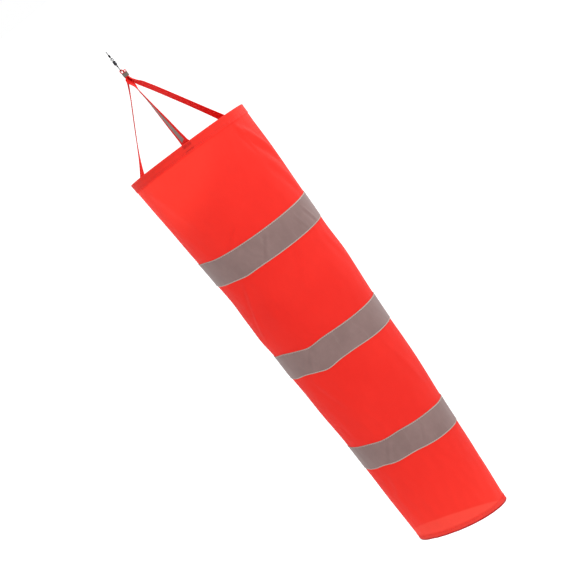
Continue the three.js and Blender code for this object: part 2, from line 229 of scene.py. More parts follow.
def sock_points(down, angle, out, folds=1.0):
    """Points of the sock, upright millimetres, out beyond the cloth's outer face."""
    down, angle, out = np.broadcast_arrays(*(np.asarray(x, float) for x in (down, angle, out)))
    inside = np.clip(down, 0, LENGTH)
    r = radius(inside) + out + folds * relief(inside, angle)
    away = wrapped(angle) / pi
    skew = SKEW_MOUTH + SKEW_GROW * (1 - np.exp(-inside / SKEW_OVER))
    fade = 1 - ease(inside, 0, TILT_FADE)
    share = inside / LENGTH
    return np.stack([AXIS_X + BOW * np.sin(pi * share) + r * np.cos(angle),
                     -r * np.sin(angle),
                     MOUTH_Z - down - bumps(DRAGS, inside, angle)
                     + skew * (away ** 2 - 1 / 3)
                     + MOUTH_TILT * fade * np.sin(angle)
                     - TAIL_DROP * share ** 2 * np.cos(angle)], axis=-1)


# ---- mesh helpers ----
def put(name, data):
    """A new object in the scene."""
    obj = bpy.data.objects.new(name, data)
    bpy.context.scene.collection.objects.link(obj)
    return obj


def new_object(name, points, faces, uv=None):
    """A mesh of row-frame points in metres; uv gives each face corner its place in metres."""
    data = bpy.data.meshes.new(name)
    data.from_pydata([tuple(p) for p in points], [], [tuple(f) for f in faces])
    if uv is not None:
        layer = data.uv_layers.new(name="weave")
        layer.data.foreach_set("uv", np.asarray(uv, np.float32).ravel())
    data.polygons.foreach_set("use_smooth", [True] * len(data.polygons))
    data.validate()
    data.update()
    return put(name, data)


def grid_faces(rows, columns):
    """Quads of a grid that wraps round and, for each corner, its (row, unwrapped column)."""
    i, j = np.meshgrid(np.arange(rows - 1), np.arange(columns), indexing="ij")
    i, j = i.ravel(), j.ravel()
    corners = [(i, j), (i, j + 1), (i + 1, j + 1), (i + 1, j)]
    faces = np.stack([a * columns + b % columns for a, b in corners], axis=1)
    place = np.stack([np.stack([a, b], axis=1) for a, b in corners], axis=1)
    return faces, place


def turned_out(obj):
    """Makes a closed mesh's faces point outward."""
    bm = bmesh.new()
    bm.from_mesh(obj.data)
    bmesh.ops.recalc_face_normals(bm, faces=bm.faces)
    bm.to_mesh(obj.data)
    bm.free()
    return obj


def grid_object(name, points, u=None, v=None, ends="open"):
    """A sheet that wraps round, from a (rows, columns, 3) array of row-frame points. u and v hold
    the place of each column and row, with one more where they wrap. Its ends are "open",
    "capped" like a rod's, or "joined" as a closed ring's are."""
    rows, columns = points.shape[:2]
    faces, place = grid_faces(rows + (ends == "joined"), columns)
    faces = [tuple(f) for f in faces % (rows * columns)]
    uv = None
    if u is not None:
        uv = np.stack([u[place[..., 1]], v[place[..., 0]]], axis=-1).reshape(-1, 2)
    if ends == "capped":
        faces += [tuple(range(columns))[::-1],
                  tuple(range((rows - 1) * columns, rows * columns))]
        uv = np.vstack([uv, np.zeros((2 * columns, 2))])
    made = new_object(name, points.reshape(-1, 3), faces, uv)
    return made if ends == "open" else turned_out(made)


ROUND_U = np.arange(AROUND + 1) * 2 * pi / AROUND * 100 * MM


def tube(name, outline, closed=False):
    """A sheet wrapped round the sock, from its section's (out, down) points; a solid ring where
    the section closes on itself."""
    out, down = np.array(outline, float).T
    points = hang(sock_points(down[:, None], circle(AROUND)[None], out[:, None]))
    if closed:
        down = np.append(down, down[0])
        return grid_object(name, points, ROUND_U, (down - down.min()) * MM, "joined")
    return grid_object(name, points, ROUND_U, run_along(outline) * MM)


def smooth_path(points, per):
    """Points along a Catmull-Rom curve through the given ones."""
    p = np.asarray(points, float)
    padded = np.vstack([2 * p[:1] - p[1:2], p, 2 * p[-1:] - p[-2:-1]])
    found = []
    for a, b, c, d in zip(padded, padded[1:], padded[2:], padded[3:]):
        for t in np.arange(per) / per:
            found.append(0.5 * (2 * b + (c - a) * t + (2 * a - 5 * b + 4 * c - d) * t ** 2
                                + (3 * b - a - 3 * c + d) * t ** 3))
    found.append(p[-1])
    return np.array(found)


def travel_frames(path, closed=False):
    """Two unit side vectors at each point of a path, carried along it without twist."""
    way = unit(np.roll(path, -1, 0) - np.roll(path, 1, 0)) if closed else unit(
        np.gradient(path, axis=0))
    side = unit(np.cross(way[0], [0.31, 0.87, 0.37]))
    sides = []
    for w in way:
        side = unit(side - w * (side @ w))
        sides.append(side)
    sides = np.array(sides)
    return sides, np.cross(way, sides)


def rings(path, side, up, wide, high, turn):
    """An ellipse of points round each point of a path: wide along side and high along up."""
    return (path[:, None] + side[:, None] * (wide * np.cos(turn))[..., None]
            + up[:, None] * (high * np.sin(turn))[..., None])


def rod(name, path, thick, sides, closed=False, to_row=lambda p: p * MM):
    """A round rod of radius thick along a path in millimetres."""
    path = np.asarray(path, float)
    a, b = travel_frames(path, closed)
    thick = np.broadcast_to(thick, len(path))[:, None]
    points = to_row(rings(path, a, b, thick, thick, circle(sides)))
    run = np.arange(len(path) + closed) * MM
    u = np.arange(sides + 1) / sides * MM
    return grid_object(name, points, u, run, "joined" if closed else "capped")


def lathe(name, profile, segments):
    """A turned piece about Z from (radius, height) points that close on themselves."""
    profile = np.asarray(profile, float)
    turn, (reach, height) = circle(segments), profile.T[..., None]
    points = np.stack([reach * np.cos(turn), reach * np.sin(turn), height + 0 * turn], axis=-1)
    return grid_object(name, points * MM, ends="joined")


def merged(name, pieces):
    """Joins objects of one material into one piece with several closed shells."""
    for o in bpy.context.selected_objects:
        o.select_set(False)
    for o in pieces:
        o.select_set(True)
    bpy.context.view_layer.objects.active = pieces[0]
    bpy.ops.object.join()
    pieces[0].name = pieces[0].data.name = name
    return pieces[0]


# One stitch: how far along it, how thick, and how high in thread radii each of its rings is.
STITCH = np.array([(0.0, 0.45, -1.0), (0.12, 0.85, -0.1), (0.35, 1.0, 0.3),
                   (0.65, 1.0, 0.3), (0.88, 0.85, -0.1), (1.0, 0.45, -1.0)])
STITCH_SIDES = 6
FINE, THREAD, COARSE = 0.16, 0.18, 0.24      # radii of the sewing threads, in millimetres


def stitch_row(name, path, normal, thread, length=2.6, gap=1.3):
    """A row of sewn stitches: short rounded threads along a path, dipping into the cloth."""
    run = run_along(path)
    count = max(1, int(run[-1] // (length + gap)))
    pitch = run[-1] / count
    share, swell, dip = STITCH.T
    turn = circle(STITCH_SIDES)
    points, faces = [], []
    quads, _ = grid_faces(len(STITCH), STITCH_SIDES)
    size = len(STITCH) * STITCH_SIDES
    for k in range(count):
        at = k * pitch + gap / 2 + share * (pitch - gap)
        centre = sample(path, run, at)
        up = unit(sample(normal, run, at))
        way = unit(np.gradient(centre, axis=0))
        side = unit(np.cross(way, up))
        centre = centre + up * (dip * thread)[:, None]
        thick = thread * swell[:, None]
        points.append(rings(centre, side, up, thick, thick, turn).reshape(-1, 3))
        base = k * size
        faces += [tuple(f) for f in quads + base]
        faces += [tuple(range(base, base + STITCH_SIDES))[::-1],
                  tuple(range(base + size - STITCH_SIDES, base + size))]
    return turned_out(new_object(name, hang(np.vstack(points)), faces))


def ring_stitches(name, down, out, **options):
    """A row of stitches round the sock."""
    angle = np.linspace(0, 2 * pi, 721)      # a point every half degree
    path = sock_points(down, angle, out)
    beyond = sock_points(down, angle, out + 1.0)
    return stitch_row(name, path, beyond - path, **options)


# ---- materials ----
class Shader:
    """A small wrapper that adds nodes to a material or a world."""

    def __init__(self, owner, kind="Material"):
        owner.use_nodes = True
        self.owner, self.tree = owner, owner.node_tree
        self.tree.nodes.clear()
        self.output = self.node(f"Output{kind}")

    def node(self, kind, inputs=None, **settings):
        """A node; inputs gives each socket another node's output or a value."""
        made = self.tree.nodes.new(f"ShaderNode{kind}")
        for key, value in settings.items():
            setattr(made, key, value)
        for key, value in (inputs or {}).items():
            socket = made.inputs[key]
            if isinstance(value, bpy.types.NodeSocket):
                self.tree.links.new(value, socket)
            else:
                socket.default_value = (*value, 1.0) if socket.type == "RGBA" else value
        return made

    def weave(self):
        """Where a point is on its cloth or tape, in metres."""
        return self.node("UVMap", uv_map="weave").outputs[0]

    def place(self):
        """Where a point is in space, in metres."""
        return self.node("TexCoord").outputs["Object"]

    def scaled(self, place, scale, turn=0.0):
        """A place stretched along its axes and turned about Z."""
        return self.node("Mapping", {"Vector": place, "Rotation": (0.0, 0.0, turn),
                                     "Scale": scale}).outputs[0]

    def math(self, operation, a, b=0.0):
        return self.node("Math", {0: a, 1: b}, operation=operation).outputs[0]

    def times(self, a, b):
        return self.math("MULTIPLY", a, b)

    def plus(self, a, b):
        return self.math("ADD", a, b)

    def remap(self, value, low, high, to_low=0.0, to_high=1.0):
        return self.node("MapRange", {"Value": value, "From Min": low, "From Max": high,
                                      "To Min": to_low, "To Max": to_high}).outputs[0]

    def mix(self, share, a, b):
        return self.node("Mix", {0: share, 6: a, 7: b}, data_type="RGBA").outputs[2]

    def noise(self, place, scale, detail, rough=0.5):
        return self.node("TexNoise", {"Vector": place, "Scale": scale, "Detail": detail,
                                      "Roughness": rough}).outputs["Fac"]

    def rows(self, place, pitch, direction):
        """Sine rows with that pitch, in metres, across X or Y of a place."""
        return self.node("TexWave", {"Vector": place, "Scale": pi / 10 / pitch,
                                     "Distortion": 0.0}, wave_type="BANDS",
                         bands_direction=direction, wave_profile="SIN").outputs["Fac"]

    def bump(self, height, distance, strength, normal=None):
        inputs = {"Height": height, "Distance": distance, "Strength": strength}
        if normal is not None:
            inputs["Normal"] = normal
        return self.node("Bump", inputs).outputs[0]

    def skin(self, tint, rough, normal, more):
        return self.node("BsdfPrincipled", {"Base Color": tint, "Roughness": rough,
                                            "Normal": normal, **more}).outputs[0]

    def surface(self, shader):
        self.tree.links.new(shader, self.output.inputs["Surface"])
        return self.owner


def new_shader(name):
    return Shader(bpy.data.materials.new(name))


WEAVE, RIB, TWILL = 0.0007, 0.0011, 0.0009      # pitches of threads and ribs, in metres
# Painted light on the tail: a pale strip that stands in for light shining through the cloth.
# Its depth in metres, all round, what its left and its front have more than that, and the
# width of its soft edge.
PAINTED_LIGHT_DEPTH, PAINTED_LIGHT_SIDE, PAINTED_LIGHT_FRONT, PAINTED_LIGHT_SOFT = 0.0065, 0.0124, 0.0245, 0.003
# The pale tint of that painted light.
PAINTED_LIGHT_TINT = (0.88, 0.13, 0.095)


def cloth_material(name, colour, deep, glow, through, painted_light_end=None):
    """Thin plain-woven polyester that lets light through. Where the sock's lower end lies that
    many metres down the piece, as the last argument gives, a slanting strip along its front is
    painted
    pale: painted light standing in for light shining through the cloth. There the cloth also lets
    a little more light through."""
    s = new_shader(name)
    uv, place = s.weave(), s.place()
    threads = s.times(s.rows(uv, WEAVE, "X"), s.rows(uv, WEAVE, "Y"))
    slub = s.noise(s.scaled(uv, (400.0, 30.0, 1.0)), 1.0, 2.0)
    cloud = s.noise(place, 9.0, 4.0, 0.55)
    crease = s.noise(place, 60.0, 5.0, 0.6)
    tint = s.mix(s.remap(cloud, 0.3, 0.7), deep, colour)
    tint = s.mix(s.times(slub, 0.18), tint, deep)
    share = through
    if painted_light_end is not None:
        # Painted light: the pale strip's mask, standing in for light shining through the cloth.
        across = s.node("SeparateXYZ", {0: uv})
        turn = s.times(across.outputs["X"], 10.0)     # the weave runs 100 mm to a radian
        reach = s.plus(s.times(s.math("COSINE", turn), -PAINTED_LIGHT_SIDE),
                       s.times(s.math("SINE", turn), PAINTED_LIGHT_FRONT))
        depth = s.plus(s.plus(across.outputs["Y"], reach), PAINTED_LIGHT_DEPTH - painted_light_end)
        painted_light = s.remap(s.plus(depth, s.times(cloud, PAINTED_LIGHT_SOFT)), 0.0, PAINTED_LIGHT_SOFT)
        tint = s.mix(s.times(painted_light, 0.6), tint, PAINTED_LIGHT_TINT)
        share = s.remap(painted_light, 0.0, 1.0, through, through + 0.15)
    normal = s.bump(threads, 0.00012, 0.5, s.bump(crease, 0.0012, 0.35))
    skin = s.skin(tint, s.remap(cloud, 0.2, 0.8, 0.52, 0.66), normal, {
        "Sheen Weight": 0.03, "Sheen Roughness": 0.4, "Sheen Tint": (1.0, 0.6, 0.5),
        "Specular IOR Level": 0.13})
    back = s.node("BsdfTranslucent", {"Color": glow, "Normal": normal}).outputs[0]
    return s.surface(s.node("MixShader", {0: share, 1: skin, 2: back}).outputs[0])


def webbing_material(name, colour, deep):
    """Woven polyester tape: ribs along it, a fine twill across them, fuzzy edges."""
    s = new_shader(name)
    uv, place = s.weave(), s.place()
    picks = s.rows(s.scaled(uv, (1.0, 1.0, 1.0), 0.7), TWILL, "Y")
    height = s.plus(s.times(s.rows(uv, RIB, "X"), 0.6), s.times(picks, 0.5))
    cloud = s.noise(place, 40.0, 4.0)
    fuzz = s.noise(place, 900.0, 2.0)
    tint = s.mix(s.remap(height, 0.1, 0.9), deep, colour)
    tint = s.mix(s.times(s.remap(cloud, 0.35, 0.75), 0.35), tint, deep)
    normal = s.bump(fuzz, 0.0002, 0.25, s.bump(height, 0.00025, 0.6))
    return s.surface(s.skin(tint, s.remap(cloud, 0.2, 0.8, 0.62, 0.8), normal, {
        "Sheen Weight": 0.08, "Sheen Roughness": 0.5, "Sheen Tint": (1.0, 0.3, 0.25),
        "Specular IOR Level": 0.12}))


def tape_material(name, half_height, colour, dark, edge, edge_width):
    """Retroreflective fabric tape: a grey beaded face with pale woven edges and fine cracks."""
    s = new_shader(name)
    uv, place = s.weave(), s.place()
    down = s.node("SeparateXYZ", {0: uv}).outputs["Y"]
    from_middle = s.math("ABSOLUTE", s.math("SUBTRACT", down, half_height))
    border = s.remap(s.math("SUBTRACT", half_height, from_middle),
                     edge_width * 1.15, edge_width * 0.85)
    beads = s.node("TexVoronoi", {"Vector": place, "Scale": 2200.0}).outputs["Distance"]
    cloud = s.noise(place, 22.0, 5.0, 0.6)
    slanted = s.scaled(uv, (160.0, 22.0, 1.0), 0.6)
    scuff = s.remap(s.noise(slanted, 1.0, 6.0, 0.65), 0.58, 0.76)
    stain = s.remap(s.noise(place, 55.0, 3.0), 0.50, 0.66)
    tint = s.mix(s.remap(cloud, 0.3, 0.7), dark, colour)
    tint = s.mix(s.times(stain, 0.35), tint, dark)
    tint = s.mix(s.times(scuff, 0.13), tint, edge)
    tint = s.mix(border, tint, edge)
    rough = s.plus(s.remap(cloud, 0.2, 0.8, 0.42, 0.56), s.times(border, 0.25))
    crackle = s.bump(s.noise(slanted, 2.0, 6.0, 0.7), 0.0005, 0.35)
    return s.surface(s.skin(tint, rough, s.bump(beads, 0.00012, 0.25, crackle),
                            {"Specular IOR Level": 0.4}))


def metal_material(name, colour, pale, rough, wear):
    """Plated or drawn wire: brushed along its length, paler where it rubs."""
    s = new_shader(name)
    place = s.place()
    brush = s.noise(s.scaled(place, (1.0, 1.0, 12.0)), 700.0, 4.0, 0.6)
    blotch = s.noise(place, 260.0, 4.0, 0.6)
    rub = s.times(s.remap(blotch, 0.55, 0.75), wear)
    return s.surface(s.skin(s.mix(rub, colour, pale),
                            s.remap(brush, 0.2, 0.8, rough - 0.07, rough + 0.09),
                            s.bump(brush, 0.00003, 0.3), {"Metallic": 1.0}))


def thread_material(name, colour, deep):
    """Twisted polyester sewing thread."""
    s = new_shader(name)
    twist = s.noise(s.place(), 2600.0, 2.0)
    return s.surface(s.skin(s.mix(s.remap(twist, 0.3, 0.7), deep, colour), 0.55,
                            s.bump(twist, 0.0001, 0.5),
                            {"Sheen Weight": 0.1, "Sheen Roughness": 0.4,
                             "Specular IOR Level": 0.25}))


# Cloth: its colour, its deeper shade, the light through it and how much passes.
PANEL_RED = ((0.86, 0.038, 0.026), (0.78, 0.028, 0.019), (0.97, 0.07, 0.04), 0.38)
HEM_RED = ((0.93, 0.046, 0.030), (0.84, 0.030, 0.020), (0.97, 0.10, 0.06), 0.30)
# The tail hem's cloth is paler than the panels': painted light standing in for light shining
# through the cloth at the tail.
TAIL_HEM_RED = ((0.90, 0.048, 0.033), (0.83, 0.034, 0.023), (0.97, 0.10, 0.06), 0.38)
TUCK = 3.0                        # how far a panel runs on under the bands beside it
RED_CLOTH = cloth_material("red_cloth", *PANEL_RED)
TAIL_CLOTH = cloth_material("tail_cloth", *PANEL_RED,
                            painted_light_end=(LENGTH - EDGES[-2] + TUCK) * MM)
HEM_CLOTH = cloth_material("hem_cloth", *HEM_RED)
TAIL_HEM_CLOTH = cloth_material("tail_hem_cloth", *TAIL_HEM_RED, painted_light_end=TAIL_HEM * MM)
RED_WEBBING = webbing_material("red_webbing", (0.80, 0.018, 0.014), (0.62, 0.009, 0.007))
# Darker webbing for the tail's binding: its dark colour is partly the binding's own and partly
# painted shade along the tail's rim.
RIM_BINDING_AND_SHADE = webbing_material("rim_binding_and_shade", (0.46, 0.010, 0.016), (0.30, 0.006, 0.010))
# Only the bands show their tape's pale edges; the other strips are cut from inside it, which is
# a half height of half a metre.
PALE_EDGE, NO_EDGE = (0.36, 0.31, 0.27), 0.5
BAND_TAPE = tape_material("band_tape", BAND_HEIGHT / 2 * MM, (0.225, 0.140, 0.130),
                          (0.180, 0.108, 0.100), PALE_EDGE, 0.0011)
STRIPE_TAPE = tape_material("stripe_tape", NO_EDGE, (0.26, 0.19, 0.165), (0.20, 0.14, 0.125),
                            PALE_EDGE, 0.0004)
COLLAR_TAPE = tape_material("collar_tape", NO_EDGE, (0.15, 0.125, 0.105),
                            (0.10, 0.085, 0.07), (0.24, 0.21, 0.18), 0.0004)
BLACK_NICKEL = metal_material("black_nickel", (0.032, 0.033, 0.038), (0.22, 0.22, 0.23),
                              rough=0.26, wear=0.35)
HOOP_STEEL = metal_material("hoop_steel", (0.42, 0.42, 0.43), (0.70, 0.70, 0.70),
                            rough=0.36, wear=0.5)
RED_THREAD = thread_material("red_thread", (0.74, 0.022, 0.016), (0.54, 0.012, 0.009))
PALE_THREAD = thread_material("pale_thread", (0.66, 0.58, 0.52), (0.42, 0.36, 0.32))


def finish_piece(obj, material, body=None, replaces=()):
    """Gives a piece its material and its body, and hides the CAD nodes that it stands for."""
    obj.data.materials.clear()
    obj.data.materials.append(material)
    if body:
        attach(obj, body)
    if replaces:
        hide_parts(*replaces)
    return obj


def blend_at_band(obj):
    """Bakes the piece's placement into its mesh."""
    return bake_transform(obj)


# ---- camera, light and floor ----
CAMERA_AIM = Vector((-0.0106, 0.0, -0.5066))
CAMERA_DISTANCE, CAMERA_ELEVATION = 5.5, radians(8)
CAMERA_ROLL = radians(38.88)
CAMERA_LENS, SENSOR_WIDTH = 201.3, 36.0
FLOOR_Z, FLOOR_REACH = -1.32, 60.0
VIEW_END = 200.0                  # the camera sees that far
WHITE = (1.0, 1.0, 1.0)


def make_camera():
    data = bpy.data.cameras.new("camera")
    data.lens, data.sensor_width, data.clip_end = CAMERA_LENS, SENSOR_WIDTH, VIEW_END
    back = Vector((0, -cos(CAMERA_ELEVATION), sin(CAMERA_ELEVATION)))
    look = (-back).to_track_quat("-Z", "Y").to_matrix()
    turned = look @ Matrix.Rotation(-CAMERA_ROLL, 3, "Z")
    camera = put("camera", data)
    camera.matrix_world = Matrix.Translation(CAMERA_AIM + back * CAMERA_DISTANCE) @ turned.to_4x4()
    bpy.context.scene.camera = camera


def make_light(name, place, aim, size, power):
    data = bpy.data.lights.new(name, "AREA")
    data.shape, data.size, data.energy = "DISK", size, power
    light = put(name, data)
    light.location = place
    light.rotation_euler = (Vector(aim) - Vector(place)).to_track_quat("-Z", "Y").to_euler()


def make_world():
    """A white surround, dimmer on the left, which gives the sock a soft shaded side."""
    world = bpy.data.worlds.new("studio")
    s = Shader(world, "World")
    direction = s.node("TexCoord").outputs["Generated"]
    across = s.node("SeparateXYZ", {0: direction}).outputs["X"]
    glow = s.remap(across, -0.9, -0.15, 0.7, 1.0)
    s.surface(s.node("Background", {"Color": WHITE, "Strength": glow}).outputs[0])
    bpy.context.scene.world = world


def make_floor():
    s = new_shader("floor")
    tone = s.mix(s.noise(s.place(), 0.4, 2.0), (0.90, 0.90, 0.90), (0.93, 0.93, 0.93))
    pale = s.node("BsdfPrincipled", {"Base Color": tone, "Roughness": 0.9,
                                     "Emission Color": WHITE, "Emission Strength": 0.35})
    corners = [(x * FLOOR_REACH, y * FLOOR_REACH, FLOOR_Z)
               for x, y in ((-1, -1), (1, -1), (1, 1), (-1, 1))]
    floor = new_object("floor", corners, [(0, 1, 2, 3)])
    floor.data.materials.append(s.surface(pale.outputs[0]))


def make_studio():
    make_camera()
    make_world()
    bpy.context.scene.view_settings.view_transform = "Standard"
    make_light("key", place=(0.72, -0.90, 0.42), aim=(0.04, 0.0, -0.27), size=0.9, power=5.6)
    make_light("rim", place=(0.70, 0.42, 0.05), aim=(0.11, 0.0, -0.22), size=0.2, power=4.5)
    make_floor()


def flat_section(out, down):
    """A tube's section of one depth."""
    return np.stack([np.full(len(down), out), down], axis=1)


def red_stitches(row, body):
    return finish_piece(row, RED_THREAD, body)


def sock_panel(number):
    """One fabric panel, from under the hem or band above it to under the one below it."""
    last = number == len(BAND_TOPS)
    under_fold, above_rim, depth = 2.6, 1.2, 0.35
    top, bottom = PANELS[number]
    top += under_fold if number == 0 else -TUCK
    bottom += -above_rim if last else TUCK
    cloth = tube(f"sock_cloth_{number + 1}", flat_section(-depth, spaced(top, bottom, ROW)))
    finish_piece(cloth, TAIL_CLOTH if last else RED_CLOTH, f"sock_{number + 1}",
                 [f"sock_panel_{number + 1}"])
    side_seam(number)


# The hem's section, from its outer lower edge over the fold to its inner one: out, down.
HEM_FOLD = [(0.55, HEM), (0.42, 14.0), (0.35, 8.0), (0.35, 3.0), (0.35, 1.5), (0.1, 0.9),
            (-0.35, 0.7), (-1.0, 1.05), (-3.5, 2.5), (-4.95, 4.0), (-5.15, 5.2), (-4.7, 7.2),
            (-3.1, 10.2), (-1.9, 13.0), (-1.5, 15.0), (-1.4, HEM)]
HOOP_AT = (-2.35, 4.9)            # centre of the hoop inside that fold: out, down


def mouth_hem():
    """Cloth folded in over the hoop, crisp along its top, and sewn to the sock below the hoop."""
    outline = smooth_path(HEM_FOLD, 3)
    hem = tube("mouth_hem_cloth", outline)
    finish_piece(hem, HEM_CLOTH, "sock_1", ["mouth_hem"])
    rows = [red_stitches(ring_stitches(f"mouth_hem_stitches_{i + 1}", down, 0.5, thread=THREAD),
                         "sock_1") for i, down in enumerate((HEM - 1.8, HEM - 4.6))]


def tail_hem():
    """Cloth turned up inside the tail and sewn, with a narrow binding on its lower edge."""
    outer, inner, fold = 0.2, -1.3, LENGTH - 1.0
    middle, roll = -0.55, 0.75
    down = spaced(LENGTH - TAIL_HEM, fold, 1.6)
    arc = [(middle + roll * cos(t), fold + roll * sin(t))
           for t in np.linspace(0, pi, 9)[1:-1]]
    outline = [(outer, d) for d in down] + arc + [(inner, d) for d in down[::-1]]
    hem = tube("tail_hem_cloth", outline)
    finish_piece(hem, TAIL_HEM_CLOTH, "sock_4", ["tail_hem"])
    row = red_stitches(ring_stitches("tail_hem_stitches", LENGTH - TAIL_HEM + 1.4, 0.25,
                                     thread=FINE), "sock_4")
    edge = [(middle + 1.2 * cos(t), LENGTH - 1.2 + 1.3 * sin(t)) for t in circle(12)]
    # The binding's dark webbing is partly painted shade along the rim.
    finish_piece(tube("tail_binding", edge, closed=True), RIM_BINDING_AND_SHADE, "sock_4")


def band(number):
    """Reflective tape sewn over the cloth, with the cloth behind it."""
    top = BAND_TOPS[number]
    bottom = top + BAND_HEIGHT
    thick, lift, edge, sewn_in = 0.45, 0.12, 0.18, 1.3
    down = spaced(top, bottom, ROW)
    outline = ([(lift + thick * (0.55 if d in (top, bottom) else 1.0), d) for d in down]
               + [(lift, bottom + edge)] + [(lift - 0.1, d) for d in down[::-1][1:-1]]
               + [(lift, top - edge)])
    tape = tube(f"reflective_tape_{number + 1}", outline, closed=True)
    finish_piece(tape, BAND_TAPE, replaces=[f"reflective_band_{number + 1}"])
    blend_at_band(tape)
    for i, line in enumerate((top + sewn_in, bottom - sewn_in)):
        row = ring_stitches(f"band_{number + 1}_stitches_{i + 1}", line, lift + thick + 0.05,
                            thread=COARSE, length=2.8, gap=1.1)
        finish_piece(row, PALE_THREAD)
        blend_at_band(row)
    backing = tube(f"band_cloth_{number + 1}", flat_section(-0.9, down))
    finish_piece(backing, RED_CLOTH)
    blend_at_band(backing)


def side_seam(number):
    """Seam allowance inside the panel, folded and overlocked, with two rows of stitches."""
    clear, beside = 2, 2.2           # its ends from the sewing there, its stitches from its middle
    top, bottom = PANELS[number]
    down = spaced(top + clear + (HEM if number == 0 else 0),
                  bottom - clear - (TAIL_HEM if number == len(BAND_TOPS) else 0), 3.0)
    across = np.array([-4.5, -1.5, 1.5, 4.5, 4.7, 4.5, 1.5, -1.5, -4.5, -4.7])
    depth = np.array([-1.2, -1.05, -1.0, -1.15, -1.5, -1.85, -1.75, -1.8, -1.9, -1.5])
    ripple = 0.35 * np.sin(down / 5.0)[:, None] * ((across > 4) * 1.0)[None]
    angle = pi + (across[None] + ripple) / radius(down)[:, None]
    points = sock_points(down[:, None], angle, depth[None] - 0.3)
    u = np.append(run_along(np.stack([across, depth], axis=1)), 20) * MM
    seam = grid_object(f"seam_allowance_{number + 1}", hang(points), u, down * MM, "capped")
    finish_piece(seam, RED_CLOTH, f"sock_{number + 1}",
                 [f"side_seam_{number + 1}"])
    rows = []
    for i, shift in enumerate((-beside, beside)):
        line = pi + shift / radius(down)
        path, beyond = (sock_points(down, line, out) for out in (-0.25, 1.0))
        row = stitch_row(f"seam_{number + 1}_stitches_{i + 1}", path, beyond - path,
                         thread=THREAD)
        rows.append(red_stitches(row, f"sock_{number + 1}"))
    return rows


# ---- bridle ----
# Where each strap meets the hoop in degrees, its place across the knot, how far down it heads
# before it turns to the hoop, and which of its faces is the outer one.
STRAPS = {
    "front": {"angle": 90.3, "top_x": 2.6, "drop": 14.0, "outer": -1},
    "left": {"angle": 212.5, "top_x": 0.4, "drop": 14.0, "outer": -1},
    "right": {"angle": 316.0, "top_x": 4.8, "drop": 8.5, "outer": 1},
}
# Each strap's end inside the mouth, over the hoop and down the hem: down, out.
STRAP_END = [(-0.3, -5.3), (2.2, -5.75), (5.0, -6.05), (9.0, -4.9), (13.0, -3.2), (16.5, -2.6)]
START_LEAN = radians(-26)    # the front strap leaves the knot turned the other way
Y_WAY = np.array([0.0, 1.0, 0.0])


def strap_turn(name, t):
    """Share of the way from lying along Y to lying along the rim."""
    if name == "front":
        return 0.34 * float(ease(t, 0.1, 0.95)) + 0.14 * t ** 16
    if name == "left":
        return t ** 6
    return 0.74 * float(ease(t, 0.0, 0.14)) + 0.26 * t ** 6


def strap_frames(name, step=2.0):
    """Distance along the strap, its share between knot and hoop, and the centre line with its
    across and through vectors, in upright millimetres."""
    spec = STRAPS[name]
    angle = radians(spec["angle"])
    top = np.array([spec["top_x"], 0.0, STRAP_TOP])
    tab = np.array([sock_points(down, angle, out, 0.0) for down, out in STRAP_END])
    rim = tab[0]
    a, b = top - np.array([0, 0, spec["drop"]]), top + (rim - top) * 0.15
    t = np.linspace(0, 1, 400)[:, None]
    curve = (top * (1 - t) ** 3 + 3 * a * t * (1 - t) ** 2 + 3 * b * t ** 2 * (1 - t)
             + rim * t ** 3)
    above = top + np.linspace(STRAP_ABOVE, 0.2, 6)[:, None] * np.array([0, 0, 1.0])
    below = smooth_path(tab, 6)[1:]
    path = np.vstack([above, curve, below])
    run = run_along(path)
    at = spaced(0, run[-1], step)
    path = sample(path, run, at)
    for _ in range(3):                # softens the corners where its three parts meet
        path[1:-1] = 0.25 * path[:-2] + 0.5 * path[1:-1] + 0.25 * path[2:]
    length = run[-1] - STRAP_ABOVE - float(np.sum(steps(below)))
    share = np.clip((at - STRAP_ABOVE) / length, 0, 1)
    rim_way = np.array([-sin(angle), -cos(angle), 0.0])
    rim_way *= 1 if rim_way[1] >= 0 else -1
    way = unit(np.gradient(path, axis=0))
    across = []
    flat = ease(at - STRAP_ABOVE - length, -2.0, 7.0)       # it lies flat where it is sewn
    for s, w, sewn in zip(share, way, flat):
        turn = strap_turn(name, s)
        turn += (1 - turn) * sewn
        side = Y_WAY * (1 - turn) + rim_way * turn
        if name == "front":
            lean = START_LEAN * float(ease(s, 0.0, 0.04) * (1 - ease(s, 0.05, 0.2)))
            side = side + tan(lean) * rim_way
        across.append(unit(side - w * (side @ w)))
    across = np.array(across)
    return at, share, path, across, np.cross(way, across)


def curled(x, y, curl):
    """Rolls a strip's section round its length: points x across it and y through it."""
    tight = np.maximum(curl, 1e-4) / (WEBBING_W / 2)
    bow = 1 / tight
    return (bow + y) * np.sin(x * tight), (bow + y) * np.cos(x * tight) - bow


def ribbon(name, at, path, across, through, width, thick, lift=0.0, curl=None):
    """A flat woven strip with rounded edges, swept along a strap's frames."""
    half, edge = width / 2, min(thick / 2, width / 2)
    flat = np.linspace(-half + edge, half - edge, 9)
    bend = np.linspace(-pi / 2, pi / 2, 5)[1:-1]
    profile = [(x, thick / 2) for x in flat]
    profile += [(half - edge + edge * cos(t), -edge * sin(t)) for t in bend]
    profile += [(x, -thick / 2) for x in flat[::-1]]
    profile += [(-half + edge - edge * cos(t), edge * sin(t)) for t in bend]
    profile = np.array(profile)
    x, y = (np.broadcast_to(p, (len(path), len(profile)))
            for p in (profile[:, 0], profile[:, 1] + lift))
    if curl is not None:
        x, y = curled(x, y, curl[:, None])
    points = path[:, None] + across[:, None] * x[..., None] + through[:, None] * y[..., None]
    u = np.append(profile[:, 0], profile[0, 0]) * MM
    return grid_object(name, hang(points), u, at * MM, "capped")


def knot_ribbon(name, at, path, width, thick):
    """A ribbon of the knot: its path lies in the XZ plane and its width along Y."""
    across = np.broadcast_to(Y_WAY, path.shape)
    return ribbon(name, at, path, across, np.cross(unit(np.gradient(path, axis=0)), across),
                  width, thick)


